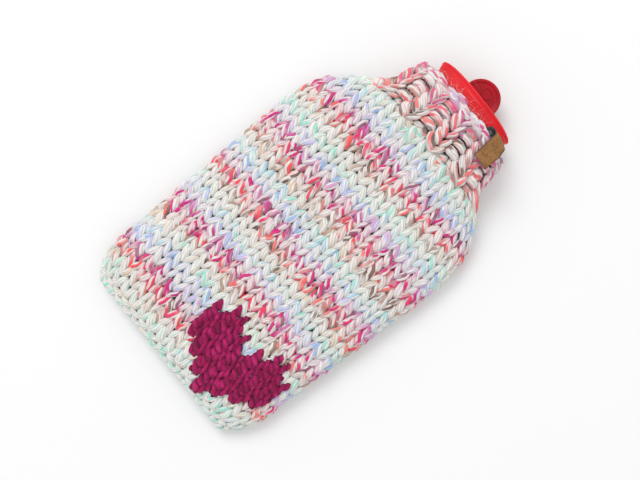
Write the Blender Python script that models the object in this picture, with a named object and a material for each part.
"""A chunky knitted cover on its rubber hot water bottle. It lies on its back, the neck towards +Y."""

import math
from collections import namedtuple

import bmesh
import bpy
import numpy as np

MM = 0.001

# Cover: driving sizes in millimetres. Heights are above the surface that it lies on.
BASE_END = -177.6
MOUTH_END = 146.0
WALL = 6.0
BASE_WALL = 7.8
BASE_ROUND = 9.0
BASE_FULLNESS = 0.32
TOP_SQUARENESS = 2.25

# Knitting: columns of stitches round the body, ribs round the collar, rows up the body.
COLUMNS = 32
COLUMN_SHIFT = 0.3
WALE_HEIGHT = 2.2
RIBS = 9
RIB_SHIFT = 0.4
RIB_HEIGHT = 2.4
RIB_DEPTH = 1.2
COLLAR_START = 99.0
BIND_OFF_LINKS = 18
BIND_OFF_START = 137.0
BIND_OFF_HEIGHT = 1.6
FIRST_ROW = -173.3
HEART_ROW = 9.8
ROW = 8.4
FLAT_BELOW = 3.0
FLAT_BLEND = 6.0

# The heart is embroidered over the knitting, a thread's thickness proud of it.
HEART_CHART = (
    ".X...X.",
    "XXX.XXX",
    "XXXXXXX",
    "XXXXXXX",
    ".XXXXX.",
    "..XXX..",
    "...X...",
)
HEART_FIRST_COLUMN = 8
HEART_HEIGHT = 1.5

# Bottle neck, stopper and label
NECK_AXIS = 21.3
BORE_RADIUS = 11.0
BORE_END = 112.0
SEAT_GAP = 0.3
TAB_RADIUS = 16.6
TAB_THICKNESS = 5.0
TAB_RIM = 2.4
TAB_RECESS = 0.8
TAB_END = 177.6
LABEL_THICKNESS = 1.2
LABEL_WIDTH = 16.0
LABEL_FROM_CROWN = 30.0
LABEL_LEG_END = 122.0
LABEL_TUCK_END = 133.0
LABEL_FOLD_AT = 144.0
LABEL_CLEAR = 0.4
LABEL_TUCK_CLEAR = 0.9

AROUND_OUTSIDE = 96
AROUND_INSIDE = 48
AROUND_BOTTLE = 36

Section = namedtuple("Section", "along half_width crown edge under corner")

# Cross-sections of the cover's outside, from the closed base to the mouth
COVER_SECTIONS = (
    Section(-177.6, 77.0, 19.5, 9.5, 0, 12),
    Section(-174.5, 83.8, 20.5, 9.5, 0, 13),
    Section(-171.0, 87.2, 21.5, 9.5, 0, 14),
    Section(-167.0, 90.2, 22.8, 9.5, 0, 15),
    Section(-159.0, 94.1, 25.2, 9.5, 0, 15),
    Section(-150.0, 96.2, 27.4, 9.5, 0, 15),
    Section(-134.0, 97.2, 29.4, 9.5, 0, 15),
    Section(-100.0, 98.0, 31.0, 9.5, 0, 15),
    Section(-50.0, 99.3, 31.8, 9.5, 0, 15),
    Section(0.0, 101.0, 32.0, 9.5, 0, 15),
    Section(34.0, 101.3, 31.8, 9.5, 0, 15),
    Section(50.0, 100.3, 31.5, 9.6, 0, 15),
    Section(63.0, 97.8, 31.5, 10.0, 0, 15),
    Section(71.5, 94.7, 31.8, 10.5, 0, 16),
    Section(80.0, 90.4, 32.5, 11.5, 0, 17),
    Section(88.0, 84.0, 34.0, 13.0, 0, 18),
    Section(96.0, 75.3, 37.0, 15.5, 0, 20),
    Section(104.0, 66.0, 41.0, 18.5, 0, 23),
    Section(110.0, 60.3, 43.6, 20.5, 0, 25),
    Section(116.0, 57.4, 45.0, 22.0, 0, 26),
    Section(128.0, 55.7, 45.0, 22.0, 0, 26),
    Section(140.0, 52.4, 45.0, 22.0, 0, 26),
    Section(146.0, 49.5, 45.0, 22.0, 0, 25),
)

# The bottle: a slack flat bag, a round neck and an oval filling funnel
BOTTLE_SECTIONS = (
    Section(-168.0, 70.0, 12.5, 9.9, 7.6, 8),
    Section(-165.0, 77.0, 14.3, 9.9, 6.6, 10),
    Section(-158.0, 83.5, 16.6, 10.0, 6.3, 12),
    Section(-148.0, 87.0, 19.3, 10.0, 6.3, 12),
    Section(-130.0, 88.0, 21.0, 10.0, 6.3, 12),
    Section(-100.0, 89.0, 22.4, 10.0, 6.3, 12),
    Section(-50.0, 90.3, 23.3, 10.0, 6.3, 12),
    Section(0.0, 92.0, 23.5, 10.0, 6.3, 12),
    Section(34.0, 92.3, 23.3, 10.0, 6.3, 12),
    Section(50.0, 91.2, 23.0, 10.0, 6.3, 12),
    Section(63.0, 88.4, 23.0, 10.4, 6.3, 12),
    Section(72.0, 84.4, 23.3, 10.8, 6.3, 13),
    Section(80.0, 79.0, 24.0, 11.6, 6.3, 13),
    Section(88.0, 69.0, 25.6, 13.0, 6.3, 14),
    Section(95.0, 54.0, 28.0, 15.0, 6.3, 14),
    Section(101.0, 36.0, 31.0, 17.5, 6.3, 15),
    Section(107.0, 22.0, 34.3, 20.0, 6.3, 15),
    Section(113.0, 15.6, 36.3, 21.3, 6.3, 15),
    Section(122.0, 15.0, 36.3, 21.3, 6.3, 15),
    Section(128.0, 17.5, 36.3, 21.3, 6.3, 15),
    Section(134.0, 25.0, 36.3, 21.3, 6.3, 18),
    Section(140.0, 33.0, 36.3, 21.3, 6.3, 23),
    Section(146.0, 39.0, 36.5, 21.3, 6.2, 27),
    Section(152.0, 42.2, 37.3, 21.3, 5.3, 29),
    Section(156.5, 44.0, 38.6, 21.3, 4.0, 30),
    Section(158.5, 44.0, 38.6, 21.3, 4.0, 30),
)
FUNNEL_SECTIONS = (
    Section(158.5, 41.4, 36.2, 21.3, 6.4, 28),
    Section(152.0, 39.6, 34.8, 21.3, 7.8, 27),
    Section(146.0, 36.4, 34.0, 21.3, 8.7, 25),
    Section(140.0, 30.4, 33.8, 21.3, 8.8, 21),
    Section(134.0, 22.4, 33.8, 21.3, 8.8, 16),
    Section(129.0, 14.0, 33.4, 21.3, 9.2, 12),
    Section(126.0, 11.0, 32.3, 21.3, 10.3, 11),
    Section(112.0, 11.0, 32.3, 21.3, 10.3, 11),
)


def smooth(knots, values, at):
    """The cubic curve through a table's values, read at one place."""
    slopes = np.gradient(values, knots)
    i = int(np.clip(np.searchsorted(knots, at) - 1, 0, len(knots) - 2))
    span = knots[i + 1] - knots[i]
    f = min(max((at - knots[i]) / span, 0.0), 1.0)
    low = (1 + 2 * f) * (1 - f) ** 2 * values[i] + f * (1 - f) ** 2 * span * slopes[i]
    high = f * f * (3 - 2 * f) * values[i + 1] - f * f * (1 - f) * span * slopes[i + 1]
    return low + high


def section_at(table, along):
    """The section at any place along the axis, between the table's rows."""
    columns = np.array(table, dtype=float).T
    sizes = [smooth(columns[0], column, along) for column in columns[1:]]
    return Section(along, *sizes)


def squeezed(section, fullness):
    """The same section with its height shrunk towards its edge, for a closed end."""
    crown = section.edge + (section.crown - section.edge) * fullness
    under = section.edge + (section.under - section.edge) * fullness
    return section._replace(crown=crown, under=under)


def inset(section, depth):
    """The section of a skin that lies this far inside."""
    return section._replace(
        half_width=section.half_width - depth,
        crown=section.crown - depth,
        under=section.under + depth,
        corner=max(section.corner - depth, 4.0),
    )


def walk(x, z, shares):
    """Points at even shares of the way along a line."""
    way = np.concatenate([[0.0], np.cumsum(np.hypot(np.diff(x), np.diff(z)))])
    return np.interp(shares * way[-1], way, x), np.interp(shares * way[-1], way, z)


def around(section, shares):
    """Points round a section: share 0 is its left edge, 0.25 its crown, 0.5 its right edge."""
    half = section.half_width
    angle = np.linspace(0.0, math.pi, 181)
    bend = 2 / TOP_SQUARENESS
    top_x = -half * np.sign(np.cos(angle)) * np.abs(np.cos(angle)) ** bend
    top_z = section.edge + (section.crown - section.edge) * np.abs(np.sin(angle)) ** bend
    turn = np.linspace(0.0, math.pi / 2, 31)
    corner_x = half - section.corner + section.corner * np.cos(turn)
    corner_z = section.edge - (section.edge - section.under) * np.sin(turn)
    low_x = np.concatenate([corner_x, -corner_x[::-1]])
    low_z = np.concatenate([corner_z, corner_z[::-1]])
    shares = shares % 1.0
    over = shares < 0.5
    top = walk(top_x, top_z, 2 * shares)
    low = walk(low_x, low_z, 2 * shares - 1)
    return np.where(over, top[0], low[0]), np.where(over, top[1], low[1])


def beside_crown(section, distances):
    """Shares of the way round a section at these distances to the right of its crown."""
    shares = np.linspace(0.25, 0.5, 61)
    x, z = around(section, shares)
    way = np.concatenate([[0.0], np.cumsum(np.hypot(np.diff(x), np.diff(z)))])
    return np.interp(distances, way, shares)


def blend(value, start, end):
    """0 before start, 1 after end, with a soft step between."""
    f = np.clip((value - start) / (end - start), 0.0, 1.0)
    return f * f * (3 - 2 * f)


def base_fullness(along, end, depth):
    """How full a section is near a rounded closed end."""
    inward = np.clip((along - end) / depth, 0.0, 1.0)
    return BASE_FULLNESS + (1 - BASE_FULLNESS) * math.sqrt(1 - (1 - inward) ** 2)


def row_at(along):
    """The row of knitting at a place on the body; the embroidered rows are stretched."""
    heart_end = FIRST_ROW + HEART_ROW * len(HEART_CHART)
    if along < heart_end:
        return (along - FIRST_ROW) / HEART_ROW
    return len(HEART_CHART) + (along - heart_end) / ROW


def relief(shares, along):
    """How far the knitting stands proud: columns, heart, the collar's ribs and its bound edge."""
    shoulder = blend(along, COLLAR_START - 18.0, COLLAR_START)
    collar = blend(along, COLLAR_START - 4.0, COLLAR_START + 8.0)
    bound = blend(along, BIND_OFF_START - 1.5, BIND_OFF_START + 1.5)
    column = shares * COLUMNS - COLUMN_SHIFT
    wales = 0.5 * WALE_HEIGHT * np.cos(2 * math.pi * column)
    swing = np.cos(2 * math.pi * (RIBS * shares - RIB_SHIFT))
    ribs = 0.5 * (RIB_HEIGHT - RIB_DEPTH) + 0.5 * (RIB_HEIGHT + RIB_DEPTH) * swing
    links = BIND_OFF_HEIGHT + 0.5 * np.cos(2 * math.pi * BIND_OFF_LINKS * shares)
    row = math.floor(row_at(along))
    stitched = np.zeros(len(shares))
    if 0 <= row < len(HEART_CHART):
        marks = HEART_CHART[len(HEART_CHART) - 1 - row]
        place = np.round(column).astype(int) - HEART_FIRST_COLUMN
        for mark, letter in enumerate(marks):
            stitched[(place == mark) & (letter == "X")] = HEART_HEIGHT
    body = (1 - shoulder) * wales + stitched
    return body + (1 - bound) * collar * ribs + bound * links


def ring(section, shares, proud=0.0):
    """One ring of points in metres, raised by what stands proud of the section above its flat underside."""
    x, z = around(section, shares)
    out_x, out_z = around(inset(section, -1.0), shares)
    lift = proud * blend(z, FLAT_BELOW, FLAT_BELOW + FLAT_BLEND)
    flat = np.full(len(shares), section.along)
    return np.stack([x + lift * (out_x - x), flat, z + lift * (out_z - z)], axis=1) * MM


def tube(bm, rings):
    """Adds an open tube through rings of points: a grid rolled up and joined along its seam."""
    steps = len(rings[0])
    made = bmesh.ops.create_grid(bm, x_segments=steps, y_segments=len(rings) - 1, size=1.0)
    for level, points in enumerate(rings):
        for step in range(steps + 1):
            made["verts"][level * (steps + 1) + step].co = points[step % steps]
    bmesh.ops.remove_doubles(bm, verts=made["verts"], dist=1e-7)


def closed(bm):
    """Fills the open ends of a tube and turns every face outwards."""
    bmesh.ops.holes_fill(bm, edges=[edge for edge in bm.edges if edge.is_boundary], sides=0)
    bmesh.ops.recalc_face_normals(bm, faces=bm.faces)


def skin(name, rings, material):
    """One closed solid through its rings."""
    bm = bmesh.new()
    tube(bm, rings)
    closed(bm)
    return finished(name, bm, material)


def finished(name, bm, material):
    """The object of a finished mesh, shaded smooth but for its sharp edges."""
    mesh = bpy.data.meshes.new(name)
    bm.to_mesh(mesh)
    bm.free()
    mesh.shade_smooth()
    mesh.set_sharp_from_angle(angle=math.radians(50))
    mesh.materials.append(material)
    obj = bpy.data.objects.new(name, mesh)
    bpy.context.scene.collection.objects.link(obj)
    return obj


def finish(name, color, roughness):
    """A plain non-metallic material."""
    material = bpy.data.materials.new(name)
    material.use_nodes = True
    shader = material.node_tree.nodes["Principled BSDF"]
    shader.inputs["Base Color"].default_value = (*color, 1.0)
    shader.inputs["Roughness"].default_value = roughness
    shader.inputs["Metallic"].default_value = 0.0
    return material


def cover_outside(shares):
    """Rings of the cover's outside: rounded base, rows under the heart, body, shoulders and collar."""
    heart_end = FIRST_ROW + HEART_ROW * len(HEART_CHART)
    places = [BASE_END + BASE_ROUND * (1 - math.cos(a)) for a in np.linspace(0.0, 0.9, 4)]
    places += [FIRST_ROW + HEART_ROW * (row + 0.5) for row in range(len(HEART_CHART))]
    places += list(np.arange(heart_end + ROW / 2, COLLAR_START - 30.0, 1.5 * ROW))
    places += list(np.linspace(COLLAR_START - 25.0, COLLAR_START + 7.0, 7))
    places += list(np.linspace(COLLAR_START + 13.0, BIND_OFF_START - 1.5, 4))
    places += [BIND_OFF_START + 1.5, MOUTH_END - WALL / 2]
    rings = []
    for along in places:
        section = squeezed(section_at(COVER_SECTIONS, along), base_fullness(along, BASE_END, BASE_ROUND))
        fade = blend(along, BASE_END, BASE_END + 2.0)
        rings.append(ring(section, shares, relief(shares, along) * fade))
    return rings


def cover_rim(shares):
    """The rounded edge of the mouth, from the outside over to the inside."""
    rings = []
    for angle in np.radians((30.0, 60.0, 90.0, 130.0)):
        along = MOUTH_END - WALL / 2 * (1 - math.sin(angle))
        section = inset(section_at(COVER_SECTIONS, along), WALL / 2 * (1 - math.cos(angle)))
        proud = relief(shares, MOUTH_END) * max(math.cos(angle), 0.0)
        rings.append(ring(section, shares, proud))
    return rings


def cover_inside(shares):
    """Rings of the hollow, from the mouth down to the closed base."""
    end = BASE_END + BASE_WALL
    places = [MOUTH_END - WALL / 2, 128.0, 114.0, 106.0, 98.0, 88.0, 76.0]
    places += [50.0, -20.0, -90.0, -145.0, end + 7.0, end + 2.5, end]
    rings = []
    for along in places:
        section = inset(section_at(COVER_SECTIONS, along), WALL)
        rings.append(ring(squeezed(section, base_fullness(along, end, 7.0)), shares))
    return rings


def make_cover():
    outside = (np.arange(AROUND_OUTSIDE) / AROUND_OUTSIDE + COLUMN_SHIFT / COLUMNS) % 1.0
    inside = np.arange(AROUND_INSIDE) / AROUND_INSIDE
    bm = bmesh.new()
    tube(bm, cover_outside(outside) + cover_rim(outside))
    tube(bm, cover_inside(inside))
    mouth = [edge for edge in bm.edges if edge.is_boundary and edge.verts[0].co.y > COLLAR_START * MM]
    bmesh.ops.bridge_loops(bm, edges=mouth)
    closed(bm)
    return finished("cover", bm, finish("knitted_yarn", (0.80, 0.70, 0.70), 0.9))


def make_bottle():
    shares = np.arange(AROUND_BOTTLE) / AROUND_BOTTLE
    rubber = finish("red_rubber", (0.72, 0.03, 0.05), 0.45)
    rings = [ring(section, shares) for section in BOTTLE_SECTIONS + FUNNEL_SECTIONS]
    return skin("bottle", rings, rubber)


def make_stopper():
    """A round plug in the neck, joined to a flat round tab with a raised rim."""
    rubber = finish("dark_red_rubber", (0.42, 0.015, 0.03), 0.45)
    bm = bmesh.new()
    tab_centre = TAB_END - TAB_RADIUS
    disc = bmesh.ops.create_circle(bm, cap_ends=True, segments=48, radius=TAB_RADIUS * MM)
    top = disc["verts"][0].link_faces[0]
    raised = bmesh.ops.extrude_face_region(bm, geom=[top])
    lifted = [item for item in raised["geom"] if isinstance(item, bmesh.types.BMVert)]
    bmesh.ops.translate(bm, verts=lifted, vec=(0.0, 0.0, TAB_THICKNESS * MM))
    flats = [face for face in bm.faces if len(face.verts) == 48]
    for flat in flats:
        side = 1.0 if flat.calc_center_median().z > TAB_THICKNESS * MM / 2 else -1.0
        bmesh.ops.inset_region(bm, faces=[flat], thickness=TAB_RIM * MM)
        bmesh.ops.translate(bm, verts=flat.verts, vec=(0.0, 0.0, -side * TAB_RECESS * MM))
    drop = (0.0, tab_centre * MM, (NECK_AXIS - TAB_THICKNESS / 2) * MM)
    bmesh.ops.translate(bm, verts=bm.verts, vec=drop)
    bmesh.ops.recalc_face_normals(bm, faces=bm.faces)
    tab = finished("stopper", bm, rubber)

    # Half width and half height of the plug, the shank and its root in the tab
    plug_radius = BORE_RADIUS - SEAT_GAP
    stations = (
        (BORE_END + SEAT_GAP, plug_radius - 1.0, plug_radius - 1.0),
        (BORE_END + SEAT_GAP + 1.0, plug_radius, plug_radius),
        (127.0, plug_radius, plug_radius),
        (129.5, 9.5, 7.0),
        (134.0, 8.2, 3.6),
        (tab_centre - 3.0, 8.0, 1.9),
    )
    shares = np.arange(24) / 24 * 2 * math.pi
    rings = []
    for along, wide, high in stations:
        x, z = -wide * np.cos(shares), NECK_AXIS + high * np.sin(shares)
        rings.append(np.stack([x, np.full(24, along), z], axis=1) * MM)
    plug = skin("plug", rings, rubber)
    plug.hide_render = True
    plug.display_type = "WIRE"
    join = tab.modifiers.new("plug", "BOOLEAN")
    join.operation = "UNION"
    join.solver = "EXACT"
    join.object = plug
    return tab


def make_label():
    """A strip folded over the mouth's edge and stitched down on the collar."""
    paper = finish("washable_paper", (0.36, 0.19, 0.09), 0.7)
    outer = RIB_HEIGHT + LABEL_CLEAR + LABEL_THICKNESS / 2
    inner = -(WALL + LABEL_TUCK_CLEAR + LABEL_THICKNESS / 2)
    middle, half_span = (outer + inner) / 2, (outer - inner) / 2
    path = [(along, outer) for along in np.linspace(LABEL_LEG_END, LABEL_FOLD_AT, 6)]
    for angle in np.radians(np.linspace(20.0, 160.0, 8)):
        path.append((LABEL_FOLD_AT + half_span * math.sin(angle), middle + half_span * math.cos(angle)))
    path += [(along, inner) for along in np.linspace(LABEL_FOLD_AT, LABEL_TUCK_END, 4)]
    distances = LABEL_FROM_CROWN + np.linspace(0.0, LABEL_WIDTH, 7)

    bm = bmesh.new()
    steps = len(distances)
    bmesh.ops.create_grid(bm, x_segments=steps - 1, y_segments=len(path) - 1, size=1.0)
    bm.verts.ensure_lookup_table()
    for level, (along, out) in enumerate(path):
        section = section_at(COVER_SECTIONS, min(along, MOUTH_END))
        x, z = around(inset(section, -out), beside_crown(section, distances))
        for step in range(steps):
            bm.verts[level * steps + step].co = (x[step] * MM, along * MM, z[step] * MM)
    label = finished("label", bm, paper)
    thicken = label.modifiers.new("thickness", "SOLIDIFY")
    thicken.thickness = LABEL_THICKNESS * MM
    thicken.offset = 0.0
    return label


def main():
    for old in list(bpy.data.objects):
        bpy.data.objects.remove(old)
    make_cover()
    make_bottle()
    make_stopper()
    make_label()


main()
